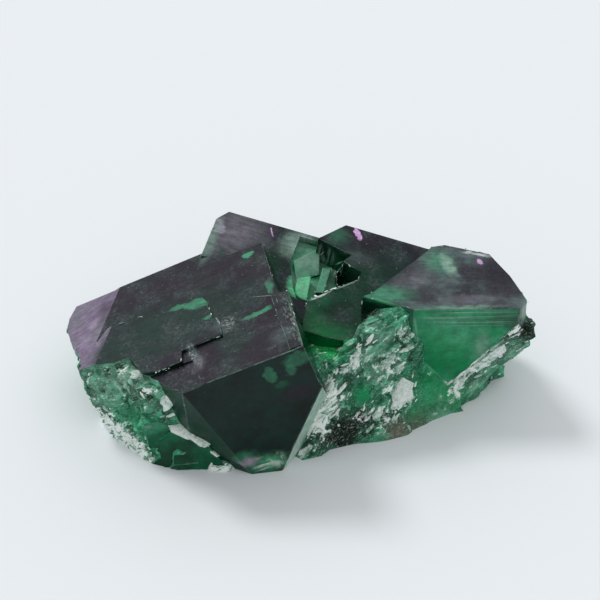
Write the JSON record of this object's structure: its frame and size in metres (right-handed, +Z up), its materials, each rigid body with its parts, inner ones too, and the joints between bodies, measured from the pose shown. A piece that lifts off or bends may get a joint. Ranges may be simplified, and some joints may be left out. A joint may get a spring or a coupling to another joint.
{
  "type": "fluorite crystal cluster",
  "caption": "Cluster of intergrown dark green fluorite cubes on a rough broken base, resting on a flat face.",
  "frame": {"origin": "middle of the footprint box, on the surface the cluster rests on", "axes": "+X along the cluster's length, +Z up, the show side faces -Y"},
  "size_m": [0.0596, 0.037, 0.019],
  "materials": {
    "fluorite": "translucent: glossy crystal faces, rough broken base"
  },
  "bodies": {
    "root": {"fluorite_cluster": "fluorite"}
  },
  "joints": []
}
